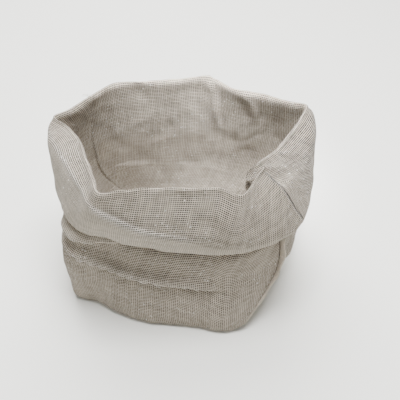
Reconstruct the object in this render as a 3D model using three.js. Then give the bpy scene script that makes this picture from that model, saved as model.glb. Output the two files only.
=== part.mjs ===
// A produce bag of open linen weave. It stands open on its folded bottom, and its top is
// turned down outside as a deep cuff. Two flat panels, front and back, are sewn together at
// the left side, across the bottom and at the right side. The bag is turned inside out, so
// the overlocked edges of the two side seams stand out from the body.
//
// Millimetres, +Z up, -Y towards the viewer, +X to the viewer's right.
import * as THREE from 'three';

// Driving dimensions
const SHEET = 1.1; // thickness of a panel with its folds
const SEAM_GAP = 0.3; // between the two panels where they are sewn together
const CENTRE = { x: -12.7, y: -1.2 }; // middle of the bag's box in the tables, which becomes the origin
const BELLY_HEIGHT = 42; // where the section table gives the body's outline
const FOOT_RADIUS = 4; // soft turn from the base to the wall
const LIP_RADIUS = 1.9; // soft turn at the cuff's lower edge
const LIP_RISE = 3; // height over which the cloth turns into the lip
const CUFF_SWELL = 1.6; // how far the cuff bellies out between its crease and its edge
const HEM_DEPTH = 27; // the hem turned up inside the cuff
const HEM_MOST_SHARE = 0.82; // the most of the cuff's height that the hem takes
const HEM_CLEARANCE = 2.7; // from the middle of the cuff's cloth to the middle of the hem's
const NECK_RISE = 2; // height of the neck above the cuff's edge
const UPPER_WALL_SHARE = 0.2; // where the upper wall's level lies, from the inner rim to the neck
const INNER_RIM_DROP = 1.3; // how far the inner rim lies below the top, in turn radii
const OUTER_RIM_SHARE = 0.12; // where the outer rim lies, from the top to the crease
const OUTER_RIM_DROP = 0.6; // and how much lower than that
const COLUMNS_PER_SECTION = 2; // mesh columns from one section to the next
const RIM_STEP = 0.25; // sections to each side between which the rim's direction is taken
const LEVEL_SEARCH_STEPS = 24; // halvings that find a height on the wall

// Where the bottom seam runs across the base, from the back left corner to the front right one
const BOTTOM_SEAM = {
  start: { x: -62, y: 66 },
  end: { x: 25, y: -68 },
};

// Overlocked edges of the side seams
const STRIP = {
  width: 6.4,
  thickness: 2.2,
  clearance: 0.35, // off the panels
  fromLevel: 2.12, // just above the base
  toLevel: 3.72, // hidden by the cuff
  taper: 0.55, // how narrow it is at both ends
  roundness: 0.5, // how soon it reaches its full width, lower is sooner
  beside: 0.5, // sections to each side between which its direction is taken
  levelStep: 0.05, // the same for the levels above and below
  rows: 16,
};

const LINEN = { color: 0xaba494, roughness: 0.95, metalness: 0 };
const LINEN_EDGE = { color: 0xb5afa1, roughness: 0.95, metalness: 0 };

// The sections around the bag, clockwise seen from below: from the left seam over the left
// side and the front to the right seam, and back over the right side and the back. The first
// table gives each section of the body and the second the same section of the cuff.
//   floor   where the wall meets the base
//   belly   the wall at BELLY_HEIGHT
//   neck    the wall inside the cuff's lower edge
//   fold    height and depth of the fold that runs round the body
const BODY_COLUMNS = [
  'name', 'floorX', 'floorY', 'bellyX', 'bellyY', 'neckX', 'neckY', 'foldZ', 'foldDepth',
];
const BODY = [
  ['left seam', -69, 76, -86, 60, -88, 48, 46, 0.3],
  ['left back', -76, 58, -95, 44, -99, 36, 48, 1],
  ['left corner', -80, 42, -100, 28, -103, 24, 50, 1.5],
  ['left turn', -83, 27, -102, 12, -104, 10, 51, 1.5],
  ['left side back', -87, 10, -103, -6, -101, -6, 52, 2],
  ['left side', -91, -8, -104, -22, -96, -19.5, 51.5, 1.6],
  ['left side front', -95, -24, -104, -35, -91.5, -32.5, 50, 1.8],
  ['left knee', -99, -38, -102, -43, -85, -43, 48.5, 2.6],
  ['front left corner', -97, -48, -93, -50, -77, -49.5, 47, 3.6],
  ['front left', -77, -55.5, -74, -56, -61, -53.5, 44, 3.8],
  ['front', -49, -71.5, -47, -64, -37, -58.5, 39.5, 3.8],
  ['front middle', -20, -76.5, -17, -69, -13, -61.7, 38, 3.2],
  ['front right', 0, -79, 4, -71, 9, -62.6, 36, 2],
  ['notch', 14, -82, 22, -69, 28, -61.5, 33.5, 1],
  ['flap', 24, -82, 42, -64, 44, -58, 33, 0.5],
  ['right seam', 30, -79, 56, -56, 54.5, -50, 35, 0.3],
  ['pocket front', 34, -71, 59, -52, 57, -46.5, 36, 0.5],
  ['pocket mouth', 38, -63, 61, -48, 59, -43.5, 37, 0.7],
  ['pocket tip', 41, -56, 63, -44, 61, -40.5, 38, 0.9],
  ['pocket back', 44, -49, 66, -39, 63, -37.5, 39, 1.1],
  ['pocket end', 47, -42, 68, -34, 65.5, -33.5, 40.5, 1.3],
  ['right front', 51, -31, 71, -26, 69.5, -27.5, 42, 1.6],
  ['right side', 57, -13, 75, -10, 73, -17, 44, 2.5],
  ['right side back', 61, 8, 77, 8, 76, -1, 44, 2.5],
  ['right turn', 63, 26, 77, 24, 79, 18, 42, 2],
  ['right corner', 60, 43, 72, 41, 79, 33, 40, 1.5],
  ['back right corner', 49, 56, 60, 56, 68, 44, 38, 2],
  ['back right', 33, 62, 43, 64, 49, 51, 37, 2.6],
  ['back fold right', 17, 67, 25, 68, 29, 54.5, 38, 2.8],
  ['back fold tip', 2, 71, 9, 71, 11, 60, 40, 2.6],
  ['back', -15, 75, -14, 73, -16, 60.5, 42, 2.6],
  ['back hollow', -33, 78, -38, 73, -43, 59, 43.5, 2],
  ['back left', -53, 80, -63, 70, -69, 55.5, 45, 1.5],
];

//   edge    the cuff's lower edge
//   crease  the crease that runs round the cuff's outside
//   rim     the top of the turned cloth
//   turn    radius of the cloth's turn over the rim
//   dip     depth of the hollow just outside the rim
const CUFF_COLUMNS = [
  'name', 'edgeX', 'edgeY', 'edgeZ', 'creaseX', 'creaseY', 'creaseZ',
  'rimX', 'rimY', 'rimZ', 'turn', 'dip',
];
const CUFF = [
  ['left seam', -94, 55, 84, -91, 50, 118, -85, 43, 127.5, 2.6, 0],
  ['left back', -107, 41, 84, -105, 37, 116, -97, 31.5, 124, 2.6, 0],
  ['left corner', -114, 23, 84, -112, 21, 116, -106, 22.5, 121.5, 2.2, 0],
  ['left turn', -112, 6, 83, -110.5, 6, 115, -96.5, 14.5, 119, 2.6, 0],
  ['left side back', -108, -10, 81, -104, -9, 115, -86.5, 1.6, 118, 2.6, 0],
  ['left side', -103.5, -22, 79, -95.5, -21.5, 112.5, -79.2, -16, 117.6, 2.6, 0],
  ['left side front', -98, -35, 77, -86.5, -36.5, 110, -73, -31, 117, 2.6, 0],
  ['left knee', -91, -46, 75, -77.5, -49.5, 107.5, -68, -45, 116.5, 2.6, 0],
  ['front left corner', -82, -54, 74.5, -70.5, -59.5, 104, -65, -58, 115.5, 2.4, 0],
  ['front left', -64, -59.5, 74.5, -57, -66, 99.5, -52, -60.5, 118, 2.6, 0],
  ['front', -40, -65, 72.5, -36, -70, 93, -31, -59, 120, 2.6, 0],
  ['front middle', -15, -68.5, 71.5, -12, -71, 91, -9, -59.7, 119, 2.6, 0],
  ['front right', 8, -69.6, 71, 8, -70.5, 92, 12, -58.7, 118.8, 2.6, 0],
  ['notch', 28, -69.3, 71.2, 25, -69.5, 94, 27.5, -59.3, 113.5, 2.2, 0],
  ['flap', 58, -58.5, 74.6, 41, -58.5, 100, 35.5, -49.5, 118, 1.5, 0],
  ['right seam', 71.8, -47, 77.6, 56.5, -45.5, 107.5, 42.5, -40, 121.5, 1.2, 0],
  ['pocket front', 73.2, -44.6, 78.6, 58, -43.2, 107.8, 38.2, -38.8, 118.5, 0.7, 4],
  ['pocket mouth', 74.5, -42.2, 79.6, 59.6, -40.9, 108.1, 34, -44.6, 115.3, 0.7, 7],
  ['pocket tip', 75.6, -39.8, 80.5, 61.5, -38.5, 108.4, 31.2, -45.6, 116.3, 0.7, 8],
  ['pocket back', 76.6, -37.4, 81.3, 63.5, -36, 108.7, 31.4, -41.6, 118.3, 0.8, 7],
  ['pocket end', 77.8, -34.2, 82.2, 66, -33, 109, 35.6, -37.4, 120.3, 1.2, 4],
  ['right front', 79.4, -28.5, 83.2, 69.5, -28, 109.6, 43, -32.3, 121.5, 2.2, 0],
  ['right side', 82, -18, 84.5, 74.5, -19, 110.5, 56.5, -21.3, 122, 2.6, 0],
  ['right side back', 85, 0, 86, 80, -1, 114, 71, 4, 124, 2.6, 0],
  ['right turn', 88, 19, 87, 84.5, 17.5, 118, 77.5, 22, 125, 2.6, 0],
  ['right corner', 87, 38, 88, 86, 36.5, 119, 80.5, 33, 126, 2.2, 0],
  ['back right corner', 71, 52, 88, 71, 47, 120, 68, 35.5, 127.5, 2.6, 0],
  ['back right', 50, 60, 87, 50, 54, 121, 49, 42.5, 130, 2.6, 0],
  ['back fold right', 30, 63, 87, 30, 57, 122, 27, 46.8, 132, 2.6, 0],
  ['back fold tip', 12, 68, 88, 12, 64, 124, 7.5, 58.3, 135.8, 2.6, 0],
  ['back', -15, 69, 88, -16, 65, 124, -20, 57, 135, 2.6, 0],
  ['back hollow', -43, 68, 87, -44, 64, 123, -44, 55.4, 134, 2.6, 0],
  ['back left', -70, 64, 86, -70, 60, 121, -66, 54, 133.2, 2.6, 0],
];

// The fold round the body
const FOLD = {
  width: 8, // of the cloth that stands out above its line
  fullness: 1.25, // how far that cloth stands out, as a share of the section's depth
  spread: 1.3, // how soon it dies away upwards, higher is sooner
  sharpness: 6, // how sharply it starts at the line
  tuck: 0.55, // how far the cloth under the line is drawn in, as a share of the depth
  tuckSpread: 4, // how soon that dies away downwards, higher is sooner
  sag: 0.5, // how much of its depth it hangs down
};

// Heights of the mesh rows on both sides of the fold's line
const FOLD_ROWS = [-9, -4, -1.2, 1.2, 3.5, 7, 12];

// The levels of one section's profile, from the bottom seam up the wall, over the rim, down
// the cuff and up its hem, with the mesh rows from each level to the next
const LEVELS = [
  { name: 'bottom seam', rows: 2 },
  { name: 'base edge', rows: 2 },
  { name: 'foot', rows: 3 },
  { name: 'belly', rows: 3 },
  { name: 'neck', rows: 3 },
  { name: 'upper wall', rows: 1 },
  { name: 'inner rim', rows: 1 },
  { name: 'crest', rows: 1 },
  { name: 'outer rim', rows: 3 },
  { name: 'crease', rows: 2 },
  { name: 'cuff', rows: 2 },
  { name: 'outer lip', rows: 1 },
  { name: 'lip', rows: 1 },
  { name: 'inner lip', rows: 3 },
  { name: 'hem end', rows: 0 },
];
const WALL_START = 2; // the foot
const WALL_END = 4; // the neck

// A table's rows as objects with named values
function named(columns, table) {
  return table.map((row) => Object.fromEntries(columns.map((column, index) => [column, row[index]])));
}

const BODY_SECTIONS = named(BODY_COLUMNS, BODY);
const SECTIONS = named(CUFF_COLUMNS, CUFF).map((row, index) => ({ ...row, ...BODY_SECTIONS[index] }));
const LEFT_SEAM = 0;
const RIGHT_SEAM = SECTIONS.findIndex((row) => row.name === 'right seam');

// A closed curve through one kind of point of every section
function ring(toPoint) {
  return new THREE.CatmullRomCurve3(SECTIONS.map(toPoint), true, 'centripetal');
}

const RINGS = {
  floor: ring((row) => new THREE.Vector3(row.floorX, row.floorY, 0)),
  belly: ring((row) => new THREE.Vector3(row.bellyX, row.bellyY, BELLY_HEIGHT)),
  edge: ring((row) => new THREE.Vector3(row.edgeX, row.edgeY, row.edgeZ)),
  crease: ring((row) => new THREE.Vector3(row.creaseX, row.creaseY, row.creaseZ)),
  rim: ring((row) => new THREE.Vector3(row.rimX, row.rimY, row.rimZ)),
  neck: ring((row) => new THREE.Vector3(row.neckX, row.neckY, row.edgeZ + NECK_RISE)),
  rimTurn: ring((row) => new THREE.Vector3(row.turn, row.dip, 0)),
  fold: ring((row) => new THREE.Vector3(row.foldZ, row.foldDepth, 0)),
};

// The point of a ring at a place counted in sections, such as 2.5
function ringPoint(name, place) {
  const share = place / SECTIONS.length;
  return RINGS[name].getPoint(share - Math.floor(share));
}

// The level direction across the rim, away from the bag's inside
function rimOutward(place) {
  const along = ringPoint('rim', place + RIM_STEP).sub(ringPoint('rim', place - RIM_STEP));
  return new THREE.Vector3(along.y, -along.x, 0).normalize();
}

// The level direction from one point to another
function levelDirection(from, to) {
  return new THREE.Vector3(to.x - from.x, to.y - from.y, 0).normalize();
}

// A point moved outwards and upwards
function moved(point, outward, distance, rise) {
  return point.clone().addScaledVector(outward, distance).setZ(point.z + rise);
}

// The point of the bottom seam below a place: the front panel runs along it one way and the
// back panel the other
function bottomSeamPoint(place) {
  const onFront = place <= RIGHT_SEAM;
  const share = onFront
    ? place / RIGHT_SEAM
    : (SECTIONS.length - place) / (SECTIONS.length - RIGHT_SEAM);
  const start = new THREE.Vector3(BOTTOM_SEAM.start.x, BOTTOM_SEAM.start.y, SHEET / 2);
  const end = new THREE.Vector3(BOTTOM_SEAM.end.x, BOTTOM_SEAM.end.y, SHEET / 2);
  const side = new THREE.Vector3(end.y - start.y, start.x - end.x, 0).normalize();
  const aside = onFront ? SEAM_GAP / 2 : -SEAM_GAP / 2;
  return start.lerp(end, share).addScaledVector(side, aside);
}

// The profile of the bag at one place, a curve through its levels
function profile(place) {
  const floor = ringPoint('floor', place);
  const belly = ringPoint('belly', place);
  const edge = ringPoint('edge', place);
  const crease = ringPoint('crease', place);
  const rim = ringPoint('rim', place);
  const rimTurn = ringPoint('rimTurn', place);
  const outward = levelDirection(rim, crease);
  const inward = levelDirection(floor, bottomSeamPoint(place));
  const across = rimOutward(place);
  const turn = rimTurn.x;
  const dip = rimTurn.y;
  const hemShare = Math.min(HEM_MOST_SHARE, HEM_DEPTH / (crease.z - edge.z));
  const baseEdge = moved(floor, inward, FOOT_RADIUS, SHEET / 2);
  const neck = ringPoint('neck', place);
  const innerRim = moved(rim, across, -turn, -turn * INNER_RIM_DROP);
  const upperWall = innerRim.clone().lerp(neck, UPPER_WALL_SHARE);
  const outerRim = moved(rim, across, turn, (crease.z - rim.z) * OUTER_RIM_SHARE - OUTER_RIM_DROP - dip);
  const cuff = moved(edge.clone().lerp(crease, 0.5), outward, CUFF_SWELL, 0);
  return new THREE.CatmullRomCurve3([
    bottomSeamPoint(place),
    baseEdge,
    moved(floor, inward, 0, FOOT_RADIUS),
    belly,
    neck,
    upperWall,
    innerRim,
    rim,
    outerRim,
    crease,
    cuff,
    moved(edge, outward, 0, LIP_RISE),
    moved(edge, outward, -LIP_RADIUS, 0),
    moved(edge, outward, -LIP_RADIUS * 2, LIP_RISE),
    moved(edge.clone().lerp(crease, hemShare), outward, -HEM_CLEARANCE, 0),
  ], false, 'centripetal');
}

// How far the cloth stands out at a height above the fold's line, given in fold widths, as a
// share of the fold's depth: it bellies out above the line and is drawn in under it
function foldShape(height) {
  const square = height * height;
  return height > 0
    ? FOLD.fullness * Math.exp(-square * FOLD.spread) * (1 - Math.exp(-height * FOLD.sharpness))
    : -FOLD.tuck * Math.exp(-square * FOLD.tuckSpread);
}

// The point of a profile at a level, such as 3.5 for halfway from the belly to the neck
function levelPoint(curve, level) {
  return curve.getPoint(level / (LEVELS.length - 1));
}

// The profile's level at a height of the wall
function wallLevel(curve, height) {
  let low = WALL_START;
  let high = WALL_END;
  for (let step = 0; step < LEVEL_SEARCH_STEPS; step += 1) {
    const middle = (low + high) / 2;
    if (levelPoint(curve, middle).z < height) low = middle;
    else high = middle;
  }
  return low;
}

// The levels of one column's mesh rows, close together at the fold's line
function rowLevels(curve, place) {
  const line = ringPoint('fold', place).x;
  const folded = FOLD_ROWS.map((rise) => wallLevel(curve, line + rise));
  return LEVELS.flatMap(({ rows }, level) => {
    if (level === WALL_START) return spread(level, folded[0], rows);
    if (level === WALL_START + 1) return [...folded.slice(0, -1), ...spread(folded.at(-1), WALL_END, rows)];
    return spread(level, level + 1, rows);
  }).concat(LEVELS.length - 1);
}

// Evenly spaced values from a first one up to, but without, a last one
function spread(first, last, count) {
  return Array.from({ length: count }, (_, index) => first + ((last - first) * index) / count);
}

// The middle of the cloth at a place and a level
function clothPoint(curve, place, level) {
  const point = levelPoint(curve, level);
  if (level > WALL_START && level < WALL_END) {
    const outward = levelDirection(bottomSeamPoint(place), ringPoint('belly', place));
    const fold = ringPoint('fold', place);
    const amount = fold.y * foldShape((point.z - fold.x) / FOLD.width);
    point.addScaledVector(outward, amount);
    point.z -= FOLD.sag * Math.max(amount, 0);
  }
  point.z = Math.max(point.z, SHEET / 2);
  return point;
}

// The grid of points in the middle of one panel's cloth, with one column more beyond the seam
// at each side
function panelGrid(first, last) {
  const count = (last - first) * COLUMNS_PER_SECTION + 3;
  return Array.from({ length: count }, (_, index) => {
    const place = first + (index - 1) / COLUMNS_PER_SECTION;
    const curve = profile(place);
    return rowLevels(curve, place).map((level) => clothPoint(curve, place, level));
  });
}

// How far a point of a column lies back from the seam, along the cloth
function seamStep(grid, column, row, next) {
  const step = grid[next][row].clone().sub(grid[column][row]);
  return step.setLength(SEAM_GAP / 2);
}

// The outward normal of a grid at one of its points
function gridNormal(grid, column, row) {
  const before = grid[Math.max(column - 1, 0)][row];
  const after = grid[Math.min(column + 1, grid.length - 1)][row];
  const below = grid[column][Math.max(row - 1, 0)];
  const above = grid[column][Math.min(row + 1, grid[column].length - 1)];
  const across = after.clone().sub(before);
  const along = above.clone().sub(below);
  return across.cross(along).normalize();
}

// The outer and inner face of a panel: the cloth's middle moved half its thickness each way
function panelFaces(grid) {
  const last = grid.length - 2;
  const faces = [[], []];
  for (let column = 1; column <= last; column += 1) {
    const points = grid[column].map((point, row) => {
      if (column === 1) return point.clone().add(seamStep(grid, column, row, 2));
      if (column === last) return point.clone().add(seamStep(grid, column, row, last - 1));
      return point;
    });
    const normals = points.map((_, row) => gridNormal(grid, column, row));
    faces[0].push(points.map((point, row) => point.clone().addScaledVector(normals[row], SHEET / 2)));
    faces[1].push(points.map((point, row) => point.clone().addScaledVector(normals[row], -SHEET / 2)));
  }
  return faces;
}

// A closed solid between an outer and an inner face, two grids of points
function sheetGeometry(faces) {
  const columns = faces[0].length;
  const rows = faces[0][0].length;
  const positions = faces.flat(2).flatMap((point) =>
    [point.x - CENTRE.x, point.y - CENTRE.y, Math.max(point.z, 0)]);
  const at = (side, column, row) => side * columns * rows + column * rows + row;
  const triangles = [];
  const quad = (a, b, c, d) => triangles.push(a, b, c, a, c, d);
  for (let column = 0; column < columns - 1; column += 1) {
    for (let row = 0; row < rows - 1; row += 1) {
      quad(at(0, column, row), at(0, column + 1, row), at(0, column + 1, row + 1), at(0, column, row + 1));
      quad(at(1, column, row), at(1, column, row + 1), at(1, column + 1, row + 1), at(1, column + 1, row));
    }
    const top = rows - 1;
    quad(at(1, column, 0), at(1, column + 1, 0), at(0, column + 1, 0), at(0, column, 0));
    quad(at(0, column, top), at(0, column + 1, top), at(1, column + 1, top), at(1, column, top));
  }
  for (let row = 0; row < rows - 1; row += 1) {
    const end = columns - 1;
    quad(at(0, 0, row), at(0, 0, row + 1), at(1, 0, row + 1), at(1, 0, row));
    quad(at(1, end, row), at(1, end, row + 1), at(0, end, row + 1), at(0, end, row));
  }
  const geometry = new THREE.BufferGeometry();
  geometry.setAttribute('position', new THREE.Float32BufferAttribute(positions, 3));
  geometry.setIndex(triangles);
  geometry.computeVertexNormals();
  return geometry;
}

// A panel of cloth between two seams
function panel(name, first, last) {
  const mesh = new THREE.Mesh(
    sheetGeometry(panelFaces(panelGrid(first, last))),
    new THREE.MeshStandardMaterial(LINEN),
  );
  mesh.name = name;
  return mesh;
}

// The overlocked edges of a side seam, a narrow strip that stands out from the body
function seamStrip(name, seam) {
  const before = profile(seam - STRIP.beside);
  const here = profile(seam);
  const after = profile(seam + STRIP.beside);
  const faces = [[[], []], [[], []]];
  for (let row = 0; row < STRIP.rows; row += 1) {
    const share = row / (STRIP.rows - 1);
    const level = THREE.MathUtils.lerp(STRIP.fromLevel, STRIP.toLevel, share);
    const point = clothPoint(here, seam, level);
    const across = clothPoint(after, seam + STRIP.beside, level)
      .sub(clothPoint(before, seam - STRIP.beside, level));
    const along = clothPoint(here, seam, level + STRIP.levelStep)
      .sub(clothPoint(here, seam, level - STRIP.levelStep));
    const side = across.clone().normalize();
    const outward = across.cross(along).normalize();
    const fullness = STRIP.taper + (1 - STRIP.taper) * Math.sin(Math.PI * share) ** STRIP.roundness;
    const start = SHEET / 2 + STRIP.clearance;
    [start, start + STRIP.width * fullness].forEach((reach, column) => {
      const middle = point.clone().addScaledVector(outward, reach);
      faces[0][column].push(middle.clone().addScaledVector(side, -STRIP.thickness / 2));
      faces[1][column].push(middle.clone().addScaledVector(side, STRIP.thickness / 2));
    });
  }
  const mesh = new THREE.Mesh(
    sheetGeometry(faces),
    new THREE.MeshStandardMaterial(LINEN_EDGE),
  );
  mesh.name = name;
  return mesh;
}

const bag = new THREE.Group();
bag.add(panel('front_panel', LEFT_SEAM, RIGHT_SEAM));
bag.add(panel('back_panel', RIGHT_SEAM, SECTIONS.length));
bag.add(seamStrip('left_seam', LEFT_SEAM));
bag.add(seamStrip('right_seam', RIGHT_SEAM));

export default bag;
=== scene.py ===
"""An open linen gauze bag, its top turned down outside as a cuff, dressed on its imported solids.

The tables hold millimetres in the frame of the cut, with +Z up and -Y towards the viewer. Every
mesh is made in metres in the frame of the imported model.
"""
import logging
from dataclasses import dataclass, field
from enum import Enum
from functools import cached_property
from math import pi, radians

import bpy
import numpy as np
from mathutils import Matrix, Vector


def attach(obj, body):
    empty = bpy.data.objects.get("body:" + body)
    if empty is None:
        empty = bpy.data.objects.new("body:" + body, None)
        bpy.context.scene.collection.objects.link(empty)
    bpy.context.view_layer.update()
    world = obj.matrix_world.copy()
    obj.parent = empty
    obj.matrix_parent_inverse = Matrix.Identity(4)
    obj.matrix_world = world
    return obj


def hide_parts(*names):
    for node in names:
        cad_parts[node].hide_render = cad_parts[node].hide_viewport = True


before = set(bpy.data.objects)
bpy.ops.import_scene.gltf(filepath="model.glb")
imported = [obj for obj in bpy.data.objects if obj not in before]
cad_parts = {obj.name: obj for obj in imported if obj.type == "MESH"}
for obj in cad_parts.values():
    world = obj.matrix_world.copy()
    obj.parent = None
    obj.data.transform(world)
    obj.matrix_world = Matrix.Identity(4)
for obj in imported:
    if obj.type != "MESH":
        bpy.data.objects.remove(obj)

LOG = logging.getLogger("linen_bag")
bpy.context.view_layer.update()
MILLIMETRE = 0.001
CENTRE = np.array([-12.7, -1.2, 0.0])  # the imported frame's origin in the tables' frame
TINY = 1e-9  # keeps a division by a length from failing
SAME_POINT = 1e-4  # control points nearer than this, in roots of millimetres, count as one
UV_SIZE = 300.0  # millimetres of cloth across the whole UV map
Array = np.ndarray
Socket = bpy.types.NodeSocket
Inputs = dict[int | str, object]
Colour = tuple[float, float, float]
Point = tuple[float, float, float]

# The sections around the bag, from the left seam over the left side and the front to the right
# seam, and back over the right side and the back
BODY_COLUMNS = ("floor_x", "floor_y", "belly_x", "belly_y", "neck_x", "neck_y", "fold_z", "fold_depth")
BODY = {
    "left seam": (-69, 76, -86, 60, -88, 48, 46, 0.3),
    "left back": (-76, 58, -95, 44, -99, 36, 48, 1),
    "left corner": (-80, 42, -100, 28, -103, 24, 50, 1.5),
    "left turn": (-83, 27, -102, 12, -104, 10, 51, 1.5),
    "left side back": (-87, 10, -103, -6, -101, -6, 52, 2),
    "left side": (-91, -8, -104, -22, -96, -19.5, 51.5, 1.6),
    "left side front": (-95, -24, -104, -35, -91.5, -32.5, 52, 1.8),
    "left knee": (-99, -38, -102, -43, -85, -43, 52.5, 2.6),
    "front left corner": (-97, -48, -93, -50, -77, -49.5, 51.5, 3.6),
    "front left": (-77, -55.5, -74, -56, -61, -53.5, 49, 3.8),
    "front": (-49, -71.5, -47, -64, -37, -58.5, 44.5, 3.8),
    "front middle": (-20, -76.5, -17, -69, -13, -61.7, 41.5, 3.2),
    "front right": (0, -79, 4, -71, 9, -62.6, 38.5, 2),
    "notch": (14, -82, 22, -69, 28, -61.5, 34.5, 1),
    "flap": (24, -82, 42, -64, 44, -58, 33, 0.5),
    "right seam": (30, -79, 56, -56, 54.5, -50, 35, 0.3),
    "pocket front": (34, -71, 59, -52, 57, -46.5, 36, 0.5),
    "pocket mouth": (38, -63, 61, -48, 59, -43.5, 37, 0.7),
    "pocket tip": (41, -56, 63, -44, 61, -40.5, 38, 0.9),
    "pocket back": (44, -49, 66, -39, 63, -37.5, 39, 1.1),
    "pocket end": (47, -42, 68, -34, 65.5, -33.5, 40.5, 1.3),
    "right front": (51, -31, 71, -26, 66.5, -27.5, 42, 1.6),
    "right side": (57, -13, 75, -10, 69, -17, 44, 2.5),
    "right side back": (61, 8, 77, 8, 73, -1, 44, 2.5),
    "right turn": (63, 26, 77, 24, 79, 18, 42, 2),
    "right corner": (60, 43, 72, 41, 79, 33, 40, 1.5),
    "back right corner": (49, 56, 60, 56, 68, 44, 38, 0.8),
    "back right": (33, 62, 43, 64, 49, 51, 37, 0.5),
    "back fold right": (17, 67, 25, 68, 29, 54.5, 38, 0.4),
    "back fold tip": (2, 71, 9, 71, 11, 60, 40, 0.35),
    "back": (-15, 75, -14, 73, -16, 60.5, 42, 0.35),
    "back hollow": (-33, 78, -38, 73, -43, 59, 43.5, 0.35),
    "back left": (-53, 80, -63, 70, -69, 55.5, 45, 0.8),
}
CUFF_COLUMNS = (
    "edge_x", "edge_y", "edge_z", "crease_x", "crease_y", "crease_z", "rim_x", "rim_y", "rim_z",
    "turn", "dip",
)
CUFF = {
    "left seam": (-94, 55, 84, -91, 50, 118, -85, 43, 127.5, 2.6, 0),
    "left back": (-107, 41, 84, -105, 37, 116, -97, 31.5, 124, 2.6, 0),
    "left corner": (-114, 23, 84, -112, 21, 117, -109, 22.5, 122.2, 1.6, 0),
    "left turn": (-112, 6, 83, -110.5, 6, 115, -98, 14, 119, 2.4, 0),
    "left side back": (-108, -10, 81, -104, -9, 115, -89, 1.6, 117.6, 2.6, 0),
    "left side": (-103.5, -22, 79, -95.5, -21.5, 112.5, -82.6, -15.5, 117, 2.6, 0),
    "left side front": (-98, -35, 77, -86.5, -36.5, 110, -77, -30.5, 116.6, 2.6, 0),
    "left knee": (-91, -46, 75, -77.5, -49.5, 107.5, -70.8, -45, 116.2, 2.6, 0),
    "front left corner": (-82, -54, 74.5, -70.5, -59.5, 104, -65, -58, 115.5, 2.4, 0),
    "front left": (-64, -59.5, 74.5, -57, -66, 99.5, -52, -60.5, 118, 2.6, 0),
    "front": (-40, -65, 72.5, -36, -70, 93, -31, -59, 120, 2.6, 0),
    "front middle": (-15, -68.5, 71.5, -12, -71, 91, -9, -59.7, 119, 2.6, 0),
    "front right": (8, -69.6, 71, 8, -70.5, 92, 12, -58.7, 118.8, 2.6, 0),
    "notch": (28, -69.3, 71.2, 25, -69.5, 94, 27.5, -59.3, 113.5, 2.2, 0),
    "flap": (58, -58.5, 74.6, 41, -58.5, 100, 35.5, -49.5, 118, 1.5, 0),
    "right seam": (71.8, -47, 77.6, 56.5, -45.5, 107.5, 42.5, -40, 121.5, 1.2, 0),
    "pocket front": (73.2, -44.6, 78.6, 58, -43.2, 107.8, 38.2, -38.8, 118.5, 0.7, 4),
    "pocket mouth": (74.5, -42.2, 79.6, 59.6, -40.9, 108.1, 34, -44.6, 115.3, 0.7, 7),
    "pocket tip": (75.6, -39.8, 80.5, 61.5, -38.5, 108.4, 31.2, -45.6, 116.3, 0.7, 8),
    "pocket back": (76.6, -37.4, 81.3, 63.5, -36, 108.7, 31.4, -41.6, 118.3, 0.8, 7),
    "pocket end": (77.8, -34.2, 82.2, 66, -33, 109, 35.6, -37.4, 120.3, 1.2, 4),
    "right front": (79.4, -28.5, 83.2, 69.5, -28, 109.6, 41.5, -32.3, 121.5, 2.2, 0),
    "right side": (82, -18, 84.5, 74.5, -19, 110.5, 52.5, -20.5, 122, 2.6, 0),
    "right side back": (85, 0, 86, 80, -1, 114, 67.5, 3, 124, 2.6, 0),
    "right turn": (88, 19, 87, 84.5, 17.5, 118, 77.5, 22, 125, 2.6, 0),
    "right corner": (87, 38, 88, 86, 36.5, 119, 80.5, 33, 126, 2.2, 0),
    "back right corner": (71, 52, 88, 71, 47, 120, 68, 35.5, 127.5, 2.6, 0),
    "back right": (50, 60, 87, 50, 54, 121, 49, 42.5, 130, 2.6, 0),
    "back fold right": (30, 63, 87, 30, 57, 122, 27, 46.8, 132, 2.6, 0),
    "back fold tip": (12, 68, 88, 12, 64, 124, 7.5, 58.3, 135.8, 2.6, 0),
    "back": (-15, 69, 88, -16, 65, 124, -20, 57, 135, 2.6, 0),
    "back hollow": (-43, 68, 87, -44, 64, 123, -44, 55.4, 134, 2.6, 0),
    "back left": (-70, 64, 86, -70, 60, 121, -66, 54, 133.2, 2.6, 0),
}


class Level(Enum):
    """The levels of one section, from the bottom seam up the wall, over the rim and down the cuff."""

    BOTTOM_SEAM = 0
    BASE_EDGE = 1
    FOOT = 2
    BELLY = 3
    NECK = 4
    UPPER_WALL = 5
    INNER_RIM = 6
    CREST = 7
    OUTER_RIM = 8
    CREASE = 9
    CUFF = 10
    OUTER_LIP = 11
    LIP = 12
    INNER_LIP = 13
    HEM_END = 14


# Mesh rows from each level to the next
ROWS = {
    Level.BOTTOM_SEAM: 8,
    Level.BASE_EDGE: 5,
    Level.FOOT: 34,
    Level.BELLY: 30,
    Level.NECK: 24,
    Level.UPPER_WALL: 6,
    Level.INNER_RIM: 4,
    Level.CREST: 4,
    Level.OUTER_RIM: 32,
    Level.CREASE: 20,
    Level.CUFF: 12,
    Level.OUTER_LIP: 4,
    Level.LIP: 4,
    Level.INNER_LIP: 14,
}


class Slot(Enum):
    """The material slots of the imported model."""

    LINEN = "linen"
    OVERLOCK = "overlock"


class ClothValue(Enum):
    """The UV map and the named values that a panel's mesh carries for its material."""

    THREADS = "cloth"
    # Painted shade of the seam's groove
    SEAM_PAINTED_SHADE = "seam_line"
    # Pale pulled threads, with a painted highlight along crease ridges
    PULLED_AND_HIGHLIGHT = "pulled_threads"
    # Where the gaps get a lighter painted shade
    PAINTED_LIT_GAPS = "lined"
    LOOSE = "loose_weave"


def unit(vectors: Array) -> Array:
    """Vectors of length one."""
    return vectors / np.maximum(np.linalg.norm(vectors, axis=-1, keepdims=True), TINY)


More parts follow.
